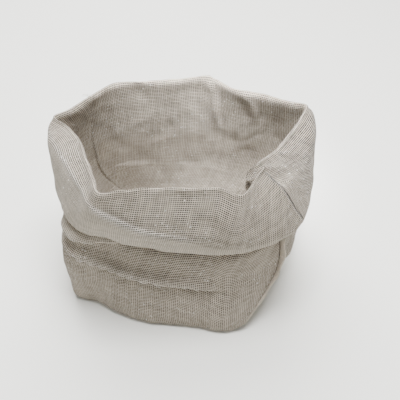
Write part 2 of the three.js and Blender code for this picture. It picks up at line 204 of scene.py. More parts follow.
def spline(points: Array, at: Array, closed: bool) -> Array:
    """Points of centripetal Catmull-Rom curves.

    Args:
        points: The curves' control points, (..., n, 3).
        at: Places along each curve, counted in control points, (..., m).
        closed: Whether each curve ends where it starts.

    Returns:
        The points, (..., m, 3).
    """
    count = points.shape[-2]
    if closed:
        first = np.floor(at).astype(int)
        picks = [(first + step) % count for step in (-1, 0, 1, 2)]
    else:
        first = np.clip(np.floor(at).astype(int), 0, count - 2)
        before = 2 * points[..., :1, :] - points[..., 1:2, :]
        after = 2 * points[..., -1:, :] - points[..., -2:-1, :]
        points = np.concatenate([before, points, after], axis=-2)
        picks = [first + step for step in range(4)]
    share = (at - first)[..., None]
    near = [np.take_along_axis(points, pick[..., None], axis=-2) for pick in picks]
    gaps = [np.sqrt(np.linalg.norm(b - a, axis=-1, keepdims=True)) for a, b in zip(near, near[1:])]
    middle = np.where(gaps[1] < SAME_POINT, 1.0, gaps[1])
    lead = np.where(gaps[0] < SAME_POINT, middle, gaps[0])
    tail = np.where(gaps[2] < SAME_POINT, middle, gaps[2])
    step = near[2] - near[1]
    start = ((near[1] - near[0]) / lead - (near[2] - near[0]) / (lead + middle) + step / middle) * middle
    end = (step / middle - (near[3] - near[1]) / (middle + tail) + (near[3] - near[2]) / tail) * middle
    square, cube = share**2, share**3
    return (
        near[1]
        + start * share
        + (3 * step - 2 * start - end) * square
        + (start + end - 2 * step) * cube
    )


def runs(points: Array, axis: int = 0) -> Array:
    """How far each point lies from the first one along an axis, by way of the points between."""
    steps = np.linalg.norm(np.diff(points, axis=axis), axis=-1)
    return np.insert(np.cumsum(steps, axis=axis), 0, 0.0, axis=axis)


def smoothed(values: Array, reach: int) -> Array:
    """Values averaged with their neighbours along the first axis, mostly within a reach."""
    weights = np.exp(-((np.arange(-2 * reach, 2 * reach + 1) / reach) ** 2))
    padded = np.pad(values, ((2 * reach, 2 * reach), (0, 0)), mode="edge")
    total = sum(weight * padded[start : start + len(values)] for start, weight in enumerate(weights))
    return total / weights.sum()


@dataclass(frozen=True)
class BagShape:
    """The middle of the bag's cloth, as a surface over places around the bag and levels.

    A place is counted in sections, such as 2.5, and a level in levels of a section.
    """

    sheet: float = 1.1
    seam_gap: float = 0.3
    belly_height: float = 42
    foot_radius: float = 4
    lip_radius: float = 1.9
    lip_rise: float = 3
    cuff_swell: float = 1.6
    hem_depth: float = 27
    hem_most_share: float = 0.82
    hem_clearance: float = 2.7
    neck_rise: float = 2
    upper_wall_share: float = 0.2
    inner_rim_drop: float = 1.3
    outer_rim_share: float = 0.12
    outer_rim_drop: float = 0.6
    rim_step: float = 0.25
    rim_fineness: float = 0.62
    bottom_start: tuple[float, float] = (-62, 66)
    bottom_end: tuple[float, float] = (25, -68)
    fold_width: float = 8
    fold_fullness: float = 1.25
    fold_spread: float = 1.3
    fold_sharpness: float = 6
    fold_tuck: float = 0.55
    fold_tuck_spread: float = 4
    fold_sag: float = 0.5

    @cached_property
    def columns(self) -> dict[str, Array]:
        """Each column of the two tables as an array over the sections."""
        body = np.array(list(BODY.values()), float).T
        cuff = np.array([CUFF[name] for name in BODY], float).T
        return dict(zip(BODY_COLUMNS + CUFF_COLUMNS, [*body, *cuff]))

    @property
    def sections(self) -> int:
        """How many sections go round the bag."""
        return len(BODY)

    @property
    def right_seam(self) -> int:
        """The place of the right seam; the left one is at 0."""
        return list(BODY).index("right seam")

    def ring(self, x: str, y: str, z: str | Array, places: Array) -> Array:
        """Points of the closed curve through one kind of point of every section.

        Args:
            x: The column of the x values.
            y: The column of the y values.
            z: The column of the z values, or the values.
            places: Where on the curve, counted in sections.

        Returns:
            The points, (n, 3).
        """
        heights = self.columns[z] if isinstance(z, str) else z
        points = np.stack([self.columns[x], self.columns[y], heights], axis=-1)
        return spline(points, places, True)

    def bottom_seam(self, places: Array) -> Array:
        """The points of the bottom seam below the places."""
        turn = self.right_seam
        on_front = places <= turn
        share = np.where(on_front, places / turn, (self.sections - places) / (self.sections - turn))
        start = np.array([*self.bottom_start, self.sheet / 2])
        end = np.array([*self.bottom_end, self.sheet / 2])
        side = unit(np.array([end[1] - start[1], start[0] - end[0], 0.0]))
        aside = np.where(on_front, self.seam_gap / 2, -self.seam_gap / 2)
        return start + (end - start) * share[:, None] + side * aside[:, None]

    def profiles(self, places: Array) -> Array:
        """The control points of the sections' profiles.

        Args:
            places: Where around the bag.

        Returns:
            One point for each place and level, (n, 15, 3).
        """
        zeros = np.zeros(self.sections)
        floor = self.ring("floor_x", "floor_y", zeros, places)
        belly = self.ring("belly_x", "belly_y", zeros + self.belly_height, places)
        edge = self.ring("edge_x", "edge_y", "edge_z", places)
        crease = self.ring("crease_x", "crease_y", "crease_z", places)
        rim = self.ring("rim_x", "rim_y", "rim_z", places)
        neck = self.ring("neck_x", "neck_y", self.columns["edge_z"] + self.neck_rise, places)
        turns = self.ring("turn", "dip", zeros, places)
        turn, dip = turns[:, :1] * self.rim_fineness, turns[:, 1:2]
        level = np.array([1.0, 1.0, 0.0])
        up = np.array([0.0, 0.0, 1.0])
        outward = unit((crease - rim) * level)
        inward = unit((self.bottom_seam(places) - floor) * level)
        ahead = self.ring("rim_x", "rim_y", "rim_z", places + self.rim_step)
        behind = self.ring("rim_x", "rim_y", "rim_z", places - self.rim_step)
        along = ahead - behind
        across = unit(np.stack([along[:, 1], -along[:, 0], np.zeros(len(places))], axis=-1))
        height = crease[:, 2:] - edge[:, 2:]
        hem_share = np.minimum(self.hem_most_share, self.hem_depth / height)
        inner_rim = rim - across * turn - up * turn * self.inner_rim_drop
        outer_drop = (rim[:, 2:] - crease[:, 2:]) * self.outer_rim_share + self.outer_rim_drop + dip
        return np.stack([
            self.bottom_seam(places),
            floor + inward * self.foot_radius + up * self.sheet / 2,
            floor + up * self.foot_radius,
            belly,
            neck,
            inner_rim + (neck - inner_rim) * self.upper_wall_share,
            inner_rim,
            rim,
            rim + across * turn - up * outer_drop,
            crease,
            (edge + crease) / 2 + outward * self.cuff_swell,
            edge + up * self.lip_rise,
            edge - outward * self.lip_radius,
            edge - outward * self.lip_radius * 2 + up * self.lip_rise,
            edge + (crease - edge) * hem_share - outward * self.hem_clearance,
        ], axis=1)

    def fold_shape(self, height: Array) -> Array:
        """How far the cloth stands out at a height above the body's fold, in its widths and depths."""
        square = height**2
        rise = 1 - np.exp(-np.maximum(height, 0) * self.fold_sharpness)
        above = self.fold_fullness * np.exp(-square * self.fold_spread) * rise
        below = -self.fold_tuck * np.exp(-square * self.fold_tuck_spread)
        return np.where(height > 0, above, below)

    def cloth(self, places: Array, levels: Array) -> Array:
        """The middle of the cloth.

        Args:
            places: Where around the bag, (n,).
            levels: The levels at each place, (n, m).

        Returns:
            The points, (n, m, 3).
        """
        points = spline(self.profiles(places), levels, False)
        floor = self.bottom_seam(places)
        belly = self.ring("belly_x", "belly_y", np.zeros(self.sections), places)
        outward = unit((belly - floor) * np.array([1.0, 1.0, 0.0]))
        fold = self.ring("fold_z", "fold_depth", np.zeros(self.sections), places)
        amount = fold[:, 1:2] * self.fold_shape((points[..., 2] - fold[:, :1]) / self.fold_width)
        on_wall = (levels > Level.FOOT.value) & (levels < Level.NECK.value)
        amount = np.where(on_wall, amount, 0)
        points = points + outward[:, None, :] * amount[..., None]
        points[..., 2] -= self.fold_sag * np.maximum(amount, 0)
        points[..., 2] = np.maximum(points[..., 2], self.sheet / 2)
        return points


class Fold(Enum):
    """How a crease shapes the cloth across its line: the same on both sides, or sharp on one."""

    SOFT = "soft"
    SHARP_BEFORE = "sharp before"  # towards the left seam, or the lower thread coordinate
    SHARP_AFTER = "sharp after"


@dataclass(frozen=True)
class Crease:
    """A crease in the cloth: a line of places, levels and heights, and its width.

    The height is outwards, and a negative one makes a trough. Its threads may be painted pale along it,
    for pulled threads and a painted highlight on its ridge.
    """

    name: str
    fold: Fold
    width: float
    path: tuple[Point, ...]
    # How pale its threads are painted: pulled threads and a painted highlight on its ridge
    pulled: float = 0.0
    sharpness: float = 0.22
    pulled_width: float = 1.5


CREASES = (
    Crease("cuff crease on the left", Fold.SOFT, 2.4, (
        (2.1, 8.91, 0.3), (3.4, 8.85, 0.9), (5, 8.9, 1.1), (6.1, 8.9, 1.2), (6.9, 8.93, 1.2),
        (7.6, 8.94, 0.7), (8.1, 8.95, 0.0),
    ), pulled=0.9),
    Crease("cuff crease in front", Fold.SHARP_BEFORE, 14.0, (
        (6.8, 8.93, 0.0), (7.5, 8.93, 0.8), (8.0, 8.93, 1.6), (8.4, 8.94, 2.0), (8.9, 8.95, 2.1),
        (9.6, 8.97, 1.9), (10.3, 9.1, 1.4), (11.2, 9.4, 0.7), (12, 9.7, 0.0),
    ), pulled=1.1, sharpness=0.09, pulled_width=2.0),
    Crease("second ridge of the cuff", Fold.SOFT, 2.6, (
        (9.0, 8.72, 0.0), (9.5, 8.78, 0.5), (10.2, 8.75, 0.0),
    )),
    Crease("valley under the notch", Fold.SOFT, 6.0, (
        (12.9, 7.9, -0.4), (13.2, 8.4, -1.1), (13.4, 9.2, -0.9), (13.8, 10.0, 0.0),
    )),
    Crease("left fold under the cuff", Fold.SHARP_BEFORE, 9.0, (
        (4.6, 3.6, 0.0), (5.7, 3.6, 4.0), (6.7, 3.62, 6.0), (7.4, 3.63, 6.2), (8.1, 3.66, 5.0),
        (8.7, 3.7, 2.8), (9.4, 3.77, 0.4),
    ), pulled=0.7, sharpness=0.1),
    Crease("fold round the body", Fold.SHARP_BEFORE, 4.5, (
        (6.4, 3.37, 0.6), (7.3, 3.36, 2.4), (7.93, 3.32, 3.2), (8.64, 3.28, 3.4), (9.2, 3.22, 3.4),
        (9.79, 3.15, 3.4), (10.29, 3.09, 3.3), (10.79, 3.03, 3.1), (11.32, 3.0, 2.6), (11.86, 2.96, 1.7),
        (12.41, 2.87, 0.4),
    ), pulled=0.4, sharpness=0.15, pulled_width=2.2),
    Crease("hollow under the cuff", Fold.SOFT, 4.5, (
        (8.3, 3.8, 0.0), (9.2, 3.86, -2.0), (10.2, 3.84, -3.4), (11.5, 3.83, -3.5), (12.6, 3.83, -3.2),
        (13.4, 3.86, -2.4), (14.4, 3.9, -1.0),
    )),
    Crease("lip in front", Fold.SOFT, 6.0, (
        (8.6, 11.2, 0.0), (9.6, 11.6, 0.9), (11.5, 11.6, 1.2), (13.2, 11.6, 1.1), (14.3, 11.4, 0.0),
    )),
    Crease("upright fold on the right", Fold.SOFT, 3.0, (
        (13.3, 3.78, 0.9), (13.4, 3.6, 0.9), (13.6, 3.3, 0.0),
    )),
    Crease("crease over the base", Fold.SOFT, 2.4, (
        (10.4, 2.3, 0.0), (10.8, 2.1, -0.8), (11.25, 2.1, -0.9), (12.5, 2.1, -0.7), (14.2, 2.0, 0.0),
    )),
    Crease("wrinkle above the pocket", Fold.SHARP_AFTER, 2.4, (
        (22.0, 7.6, 0.4), (22.05, 8.0, 1.3), (22.15, 8.3, 1.2), (22.2, 8.6, 0.0),
    ), pulled=1.0),
    Crease("first fold behind", Fold.SHARP_BEFORE, 7.0, (
        (29.1, 7.4, -1.2), (28.9, 5.8, -3.4), (28.8, 4.86, -4.0), (28.8, 4.3, -2.8), (28.6, 3.9, 0.0),
    )),
    Crease("second fold behind", Fold.SHARP_BEFORE, 6.0, (
        (27.6, 7.2, -0.5), (27.46, 5.4, -1.7), (27.25, 4.7, -1.8), (27.1, 4.2, 0.0),
    )),
    Crease("hollow behind", Fold.SOFT, 6.0, (
        (31.2, 7.6, 0.3), (31.17, 5.6, 1.8), (31.17, 4.8, 1.8), (31.2, 4.2, 0.0),
    )),
)


@dataclass(frozen=True)
class Patch:
    """A part of the cloth with more of something, such as looser weave, or less where it is negative."""

    name: str
    place: float
    level: float
    places: float
    levels: float
    amount: float

    def share(self, places: Array, levels: Array) -> Array:
        """The patch's amount at each point of a grid."""
        across = (places[:, None] - self.place) / self.places
        along = (levels - self.level) / self.levels
        return self.amount * np.exp(-(across**2) - along**2)


LOOSE_WEAVE = (
    Patch("front of the cuff", 10.2, 8.8, 2.6, 0.8, 0.35),
    Patch("right of the cuff", 23.2, 8.6, 2.6, 1.3, 2.3),
    Patch("left of the cuff", 4.5, 8.4, 3.0, 0.8, 1.0),
    Patch("low on the body", 11.0, 2.4, 3.5, 0.5, -0.5),
)
# Painted light on the fold under the cuff, which lies in the cuff's shadow: its gaps get the lighter
# painted shade
PAINTED_LIT_FOLD = Patch("left fold under the cuff", 7.2, 3.76, 1.7, 0.14, 1.0)


@dataclass(frozen=True)
class Crinkles:
    """The small unevenness of loosely woven cloth, as waves through the bag's space."""

    waves: int = 44
    shortest: float = 9
    longest: float = 46
    depth: float = 0.42
    fade: float = 0.8  # how fast shorter waves get flatter
    gain: float = 1.6
    seed: int = 11

    def height(self, points: Array) -> Array:
        """How far each point moves along its normal, in millimetres."""
        random = np.random.default_rng(self.seed)
        total = np.zeros(points.shape[:-1])
        for _ in range(self.waves):
            length = self.shortest * (self.longest / self.shortest) ** random.random()
            direction = unit(random.normal(size=3)) * 2 * pi / length
            wave = np.sin(points @ direction + random.random() * 2 * pi)
            total += wave * (length / self.longest) ** self.fade
        return total * self.depth * (2 / self.waves) ** 0.5 * self.gain


class Nodes:
    """Fills one node tree."""

    def __init__(self, tree: bpy.types.NodeTree) -> None:
        """Starts with the tree empty."""
        self.tree = tree
        self.tree.nodes.clear()

    def feed(self, socket: Socket, value: object) -> None:
        """Links a socket to an input, or sets the input's value."""
        if isinstance(value, Socket):
            self.tree.links.new(value, socket)
        else:
            socket.default_value = value

    def add(self, kind: str, inputs: Inputs | None = None, **settings: object) -> bpy.types.Node:
        """A new node.

        Args:
            kind: The node's type.
            inputs: Sockets or values for its inputs, by name or number.
            settings: Its properties, which are set first.

        Returns:
            The node.
        """
        node = self.tree.nodes.new(kind)
        for name, value in settings.items():
            setattr(node, name, value)
        for key, value in (inputs or {}).items():
            self.feed(node.inputs[key], value)
        return node

    def maths(self, operation: str, *values: object, clamp: bool = False) -> Socket:
        """The result of a maths node on sockets and numbers."""
        inputs = dict(enumerate(values))
        return self.add("ShaderNodeMath", inputs, operation=operation, use_clamp=clamp).outputs[0]

    def vector(self, operation: str, inputs: Inputs) -> Socket:
        """The result of a vector maths node."""
        return self.add("ShaderNodeVectorMath", inputs, operation=operation).outputs[0]


@dataclass(frozen=True)
class Grain:
    """A noise: its frequency and octaves, the least value that counts, and how fast it rises above it."""

    frequency: float
    detail: float
    least: float = 0.0
    steepness: float = 1.0


class SurfaceNodes(Nodes):
    """Fills the node tree of one new material."""

    def __init__(self, name: str) -> None:
        """Starts with an output alone."""
        self.material = bpy.data.materials.new(name)
        self.material.use_nodes = True
        super().__init__(self.material.node_tree)
        self.output = self.add("ShaderNodeOutputMaterial")

    def noise(self, vector: Socket, grain: Grain, dimensions: str = "3D") -> bpy.types.bpy_prop_collection:
        """The outputs of a noise read at a vector: its value, then its colour."""
        inputs = {"Vector": vector, "Scale": grain.frequency, "Detail": grain.detail}
        return self.add("ShaderNodeTexNoise", inputs, noise_dimensions=dimensions).outputs

    def specks(self, vector: Socket, grain: Grain) -> Socket:
        """0 where a noise is below its least value, rising to 1 above it."""
        above = self.maths("SUBTRACT", self.noise(vector, grain)[0], grain.least)
        return self.maths("MULTIPLY", above, grain.steepness, clamp=True)

    def carried(self, value: ClothValue) -> Socket:
        """A value that the mesh carries."""
        return self.add("ShaderNodeAttribute", attribute_name=value.value).outputs["Fac"]

    def mix(self, factor: Socket, first: object, second: object) -> Socket:
        """A colour between two colours, each a socket or a constant."""
        inputs = {0: factor}
        for number, colour in ((6, first), (7, second)):  # the node's sockets for colours
            inputs[number] = colour if isinstance(colour, Socket) else (*colour, 1.0)
        return self.add("ShaderNodeMix", inputs, data_type="RGBA").outputs[2]

    def bump(self, height: Socket, strength: float, distance: float) -> Socket:
        """Normals bent by a height from 0 to 1, over a distance in metres."""
        inputs = {"Strength": strength, "Distance": distance, "Height": height}
        return self.add("ShaderNodeBump", inputs).outputs[0]

    def blend(self, factor: object, first: object, second: object) -> Socket:
        """A shader between two shaders."""
        return self.add("ShaderNodeMixShader", {0: factor, 1: first, 2: second}).outputs[0]

    def finished(self, shader: Socket) -> bpy.types.Material:
        """The material, with a shader as its surface."""
        self.feed(self.output.inputs["Surface"], shader)
        return self.material


@dataclass(frozen=True)
class Matt:
    """How a matt surface takes the light."""

    roughness: float
    specular: float
    sheen: float
    sheen_roughness: float = 0.6

    def shader(self, build: SurfaceNodes, colour: object, normal: Socket | None = None) -> Socket:
        """The surface shader.

        Args:
            build: The material's nodes.
            colour: A socket, or a colour with its alpha.
            normal: Bent normals, if any.

        Returns:
            The shader's socket.
        """
        inputs = {
            "Base Color": colour,
            "Roughness": self.roughness,
            "Specular IOR Level": self.specular,
            "Sheen Weight": self.sheen,
            "Sheen Roughness": self.sheen_roughness,
        }
        if normal:
            inputs["Normal"] = normal
        return build.add("ShaderNodeBsdfPrincipled", inputs).outputs[0]


@dataclass(frozen=True)
class Thread:
    """One system of the weave: how wide its threads are, how much they vary and thin, in pitches."""

    half_width: float
    random_width: float
    slub_width: float
    seed: float
    loosening: float = 0.0
    slub: Grain = Grain(1.0, 2.0)
    slub_spacing: float = 3.7  # how far from its neighbour's each thread's slubs are read
    slub_stretch: float = 0.16
    roundness: float = 3.0
    random_tone: float = 0.35
    slub_tone: float = 0.8

    def sockets(
        self, build: SurfaceNodes, across: Socket, along: Socket, edge_softness: float
    ) -> tuple[Socket, Socket, Socket]:
        """The system's parallel threads.

        Args:
            build: The material's nodes.
            across: The coordinate across the threads, in pitches.
            along: The coordinate along the threads, in pitches.
            edge_softness: How wide a thread's blurred edge is, in pitches.

        Returns:
            Sockets for the cover, the height and the tone, from 0 to 1.
        """
        index = build.maths("FLOOR", across)
        seeded = {"W": build.maths("ADD", index, self.seed)}
        white = build.add("ShaderNodeTexWhiteNoise", seeded, noise_dimensions="1D").outputs["Value"]
        place = build.add("ShaderNodeCombineXYZ", {
            0: build.maths("MULTIPLY_ADD", index, self.slub_spacing, self.seed),
            1: build.maths("MULTIPLY", along, self.slub_stretch),
        }).outputs[0]
        spread = build.maths("SUBTRACT", white, 0.5)
        swell = build.maths("SUBTRACT", build.noise(place, self.slub, "2D")[0], 0.5)
        width = build.maths("MULTIPLY_ADD", spread, self.random_width, self.half_width)
        width = build.maths("MULTIPLY_ADD", swell, self.slub_width, width)
        width = build.maths("MULTIPLY_ADD", build.carried(ClothValue.LOOSE), -self.loosening, width)
        offset = build.maths("ABSOLUTE", build.maths("SUBTRACT", build.maths("FRACT", across), 0.5))
        inside = build.maths("SUBTRACT", width, offset)
        cover = build.maths("MULTIPLY_ADD", inside, 1 / edge_softness, 0.5, clamp=True)
        height = build.maths("MULTIPLY", inside, self.roundness, clamp=True)
        swollen = build.maths("MULTIPLY_ADD", swell, self.slub_tone, 0.5)
        return cover, height, build.maths("MULTIPLY_ADD", spread, self.random_tone, swollen)


@dataclass(frozen=True)
class LinenWeave:
    """Open plain weave of undyed linen, drawn from the cloth's own thread coordinates."""

    name: str = "linen_gauze"
    pitch: float = 1.42
    warp: Thread = Thread(0.17, 0.03, 0.09, 3.0, 0.06)
    weft: Thread = Thread(0.215, 0.03, 0.10, 17.0, 0.016)
    weft_density: float = 1.06
    edge_softness: float = 0.08
    drift: float = 0.45
    drift_grain: Grain = Grain(0.035, 2.0)
    light: Colour = (0.72, 0.638, 0.53)
    # Painted shadow: the near-black colour of the gaps and of the threads' edges
    dark: Colour = (0.022, 0.017, 0.012)
    # A lighter painted shade for the gaps of the band under the cuff's crease, where the hem lies behind,
    # and of the fold under the cuff
    lit_gap_painted_shade: Colour = (0.24, 0.22, 0.185)
    # Painted shade of the seam line
    painted_seam_shade: Colour = (0.06, 0.06, 0.064)
    warp_height: float = 0.88
    least_shade: float = 0.35
    tone_shade: float = 0.25
    # Painted shade: the threads' edges darker than their crowns
    height_shade: float = 0.45
    # The pale colour of lint specks and of the painted highlight on pulled threads
    lint_and_highlight: Colour = (0.95, 0.94, 0.91)
    lint_specks: Grain = Grain(0.75, 1.0, 0.67, 14.0)
    lint_patches: Grain = Grain(0.03, 2.0, 0.46, 8.0)
    # How opaque the painted shade in the gaps is
    gap_shade_opacity: float = 0.8
    translucency: float = 0.3
    bump_strength: float = 0.6
    bump_height: float = 0.00022
    fibre: Matt = Matt(roughness=0.92, specular=0.2, sheen=0.12)

    def coordinates(self, build: SurfaceNodes) -> Socket:
        """The thread coordinates in pitches."""
        cloth = build.add("ShaderNodeUVMap", uv_map=ClothValue.THREADS.value).outputs[0]
        scale = UV_SIZE / self.pitch
        return build.vector("MULTIPLY", {0: cloth, 1: (scale, scale * self.weft_density, 1.0)})

    def woven(self, build: SurfaceNodes, threads: Socket) -> tuple[Socket, Socket, Socket]:
        """The two systems of threads, over and under each other.

        Args:
            build: The material's nodes.
            threads: The thread coordinates in pitches.

        Returns:
            Sockets for the cover, the height and the shade, from 0 to 1; the shade is the threads' random
            tone with painted shade towards their edges and in the gaps.
        """
        drift = build.noise(threads, self.drift_grain)["Color"]
        centred = build.vector("SUBTRACT", {0: drift, 1: (0.5, 0.5, 0.5)})
        shift = build.vector("SCALE", {0: centred, "Scale": self.drift * 2})
        moved = build.vector("ADD", {0: threads, 1: shift})
        split = build.add("ShaderNodeSeparateXYZ", {0: moved}).outputs
        across, along = split[0], split[1]
        warp_cover, warp_height, warp_tone = self.warp.sockets(build, across, along, self.edge_softness)
        weft_cover, weft_height, weft_tone = self.weft.sockets(build, along, across, self.edge_softness)
        cover = build.maths("MAXIMUM", warp_cover, weft_cover)
        lowered = build.maths("MULTIPLY", warp_height, self.warp_height)
        height = build.maths("MAXIMUM", lowered, weft_height)
        tones = build.maths("ADD", warp_tone, weft_tone)
        tone = build.maths("MULTIPLY_ADD", tones, self.tone_shade, self.least_shade)
        shade = build.maths("MULTIPLY_ADD", height, self.height_shade, tone, clamp=True)
        return cover, height, build.maths("MULTIPLY", shade, cover)

    def coloured(
        self, build: SurfaceNodes, threads: Socket, height: Socket, shade: Socket, seam: Socket
    ) -> Socket:
        """The cloth's colour, with painted shade between its threads and in its gaps, its lint, its pale
        pulled threads with a painted highlight along crease ridges, and the painted shade of its seam
        line.

        Args:
            build: The material's nodes.
            threads: The thread coordinates in pitches.
            height: The threads' height.
            shade: The threads' tone, with painted shade at their edges and in the gaps.
            seam: How much of the seam line's painted shade there is.

        Returns:
            The colour's socket.
        """
        # Painted shade of the gaps and thread edges: near black, lighter where the gaps are painted lit
        depth = build.mix(build.carried(ClothValue.PAINTED_LIT_GAPS), self.dark, self.lit_gap_painted_shade)
        colour = build.mix(shade, depth, self.light)
        patches = build.specks(threads, self.lint_patches)
        specks = build.specks(threads, self.lint_specks)
        # Lint specks, and pale pulled threads with a painted highlight along crease ridges
        pulled = build.maths("MULTIPLY", height, build.carried(ClothValue.PULLED_AND_HIGHLIGHT))
        bright = build.maths("MULTIPLY_ADD", specks, patches, pulled, clamp=True)
        # The seam line's painted shade over everything
        return build.mix(seam, build.mix(bright, colour, self.lint_and_highlight), self.painted_seam_shade)

    def material(self) -> bpy.types.Material:
        """The material: threads that glow a little against the light, and gaps mostly filled with painted
        shade and only partly see-through.
        """
        build = SurfaceNodes(self.name)
        threads = self.coordinates(build)
        cover, height, shade = self.woven(build, threads)
        # How much painted shade of the seam line there is
        seam = build.carried(ClothValue.SEAM_PAINTED_SHADE)
        colour = self.coloured(build, threads, height, shade, seam)
        normal = build.bump(height, self.bump_strength, self.bump_height)
        glow = build.add("ShaderNodeBsdfTranslucent", {"Color": colour}).outputs[0]
        cloth = build.blend(self.translucency, self.fibre.shader(build, colour, normal), glow)
        gap = build.add("ShaderNodeBsdfTransparent").outputs[0]
        # The gaps are mostly covered by the cloth's painted shade, and the seam line's painted shade is
        # opaque
        shaded_opacity = build.maths("MULTIPLY_ADD", cover, 1 - self.gap_shade_opacity, self.gap_shade_opacity, clamp=True)
        return build.finished(build.blend(build.maths("MAXIMUM", shaded_opacity, seam), gap, cloth))


@dataclass(frozen=True)
class SeamGroove:
    """How a side seam draws the cloth in between slightly raised edges, with an uneven dark line of
    painted shade along it.
    """

    depth: float = 0.7
    width: float = 0.8
    ridge_at: float = 1.7
    ridge_width: float = 1.2
    unevenness: float = 0.2
    steps: tuple[float, float] = (9.1, 3.7)
    levels: tuple[float, ...] = (1, 2.1, 2.6, 2.9, 3.9, 4.2, 6.95, 7.05, 8.4, 8.9, 10.6, 11.0, 14)
    strengths: tuple[float, ...] = (0, 0.4, 0.5, 1, 1, 0.2, 0.2, 0.3, 0.3, 1, 1, 0, 0)
    # How strong the seam line's painted shade is at each level, and how far it reaches
    shades: tuple[float, ...] = (0, 0.1, 0.3, 1, 1, 0, 0, 1, 1, 1, 1, 0, 0)
    reaches: tuple[float, ...] = (1, 1, 1, 1, 1, 1, 1, 2, 2, 1, 1, 1, 1)

    def uneven(self, along: Array) -> Array:
        """A factor around 1 that changes along the seam."""
        first, second = self.steps
        waves = np.sin(along * 2 * pi / first) + np.sin(along * 2 * pi / second + 1)
        return 1 + self.unevenness * waves / 2

    def height(self, gap: Array, along: Array, levels: Array, ridge: float) -> Array:
        """How far the cloth moves along its normal.

        Args:
            gap: The distance from the seam.
            along: The thread coordinate along the seam.
            levels: The levels.
            ridge: How far the raised edge stands out.

        Returns:
            Millimetres, one for each point.
        """
        groove = self.depth * self.uneven(along) * np.exp(-((gap / self.width) ** 2))
        raised = ridge * np.exp(-(((gap - self.ridge_at) / self.ridge_width) ** 2))
        return (raised - groove) * np.interp(levels, self.levels, self.strengths)

    def shade(self, gap: Array, along: Array, levels: Array, reach: float) -> Array:
        """How dark the seam line is at each point, from 0 to 1, where its shadow reaches so far."""
        width = reach * self.uneven(along) * np.interp(levels, self.levels, self.reaches)
        return np.interp(levels, self.levels, self.shades) * np.exp(-((gap / width) ** 2))


def sheet_faces(columns: int, rows: int) -> Array:
    """The quads of a closed sheet between an outer and an inner grid of points."""
    outer, inner = np.arange(2 * columns * rows).reshape(2, columns, rows)
    a, b, c, d = outer[:-1, :-1], outer[1:, :-1], outer[1:, 1:], outer[:-1, 1:]
    e, f, g, h = inner[:-1, :-1], inner[:-1, 1:], inner[1:, 1:], inner[1:, :-1]
    quads = [
        (a, b, c, d),
        (e, f, g, h),
        (inner[:-1, 0], inner[1:, 0], outer[1:, 0], outer[:-1, 0]),
        (outer[:-1, -1], outer[1:, -1], inner[1:, -1], inner[:-1, -1]),
        (outer[0, :-1], outer[0, 1:], inner[0, 1:], inner[0, :-1]),
        (inner[-1, :-1], inner[-1, 1:], outer[-1, 1:], outer[-1, :-1]),
    ]
    return np.concatenate([np.stack(quad, -1).reshape(-1, 4) for quad in quads])


def place_mesh(name: str, mesh: bpy.types.Mesh) -> bpy.types.Object:
    """A smooth object of a mesh, in the scene and at the origin."""
    mesh.polygons.foreach_set("use_smooth", np.ones(len(mesh.polygons), bool))
    mesh.update()
    piece = bpy.data.objects.new(name, mesh)
    bpy.context.scene.collection.objects.link(piece)
    return piece


def make_mesh(name: str, points: Array, faces: Array) -> bpy.types.Object:
    """A smooth mesh object from points in the tables' millimetres.

    Args:
        name: The object's name.
        points: Its points, (n, 3).
        faces: Its quads, (m, 4).

    Returns:
        The object, at the origin.
    """
    mesh = bpy.data.meshes.new(name)
    mesh.from_pydata(((points - CENTRE) * MILLIMETRE).tolist(), [], faces.tolist())
    return place_mesh(name, mesh)


def plain_mesh(name: str, source: bpy.types.Object, finish: bpy.types.Material) -> bpy.types.Object:
    """A plain mesh object of what a source object makes; the source is removed.

    Args:
        name: The new object's name.
        source: An object with modifiers, or a curve.
        finish: The one material.

    Returns:
        The object, at the origin.
    """
    depsgraph = bpy.context.evaluated_depsgraph_get()
    mesh = bpy.data.meshes.new_from_object(source.evaluated_get(depsgraph), depsgraph=depsgraph)
    source.modifiers.clear()
    bpy.data.objects.remove(source)
    mesh.name = name
    mesh.materials.clear()
    mesh.materials.append(finish)
    return place_mesh(name, mesh)


def add_threads(piece: bpy.types.Object, threads: Array) -> None:
    """Gives a sheet the same thread coordinates in millimetres on both its sides, as its UV map."""
    coordinates = np.stack([threads, threads]).reshape(-1, 2) / UV_SIZE + 0.5
    mesh = piece.data
    layer = mesh.uv_layers.new(name=ClothValue.THREADS.value)
    corners = np.empty(len(mesh.loops), int)
    mesh.loops.foreach_get("vertex_index", corners)
    layer.data.foreach_set("uv", coordinates[corners].astype(np.float32).ravel())


def dress(piece: bpy.types.Object, node: str | None = None) -> bpy.types.Object:
    """Declares a finished piece to the frame and reports it.

    Args:
        piece: The piece.
        node: The CAD node that it stands for, if any.

    Returns:
        The piece.
    """
    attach(piece, "root")
    if node:
        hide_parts(node)
    LOG.info("%s: %d faces", piece.name, len(piece.data.polygons))
    return piece


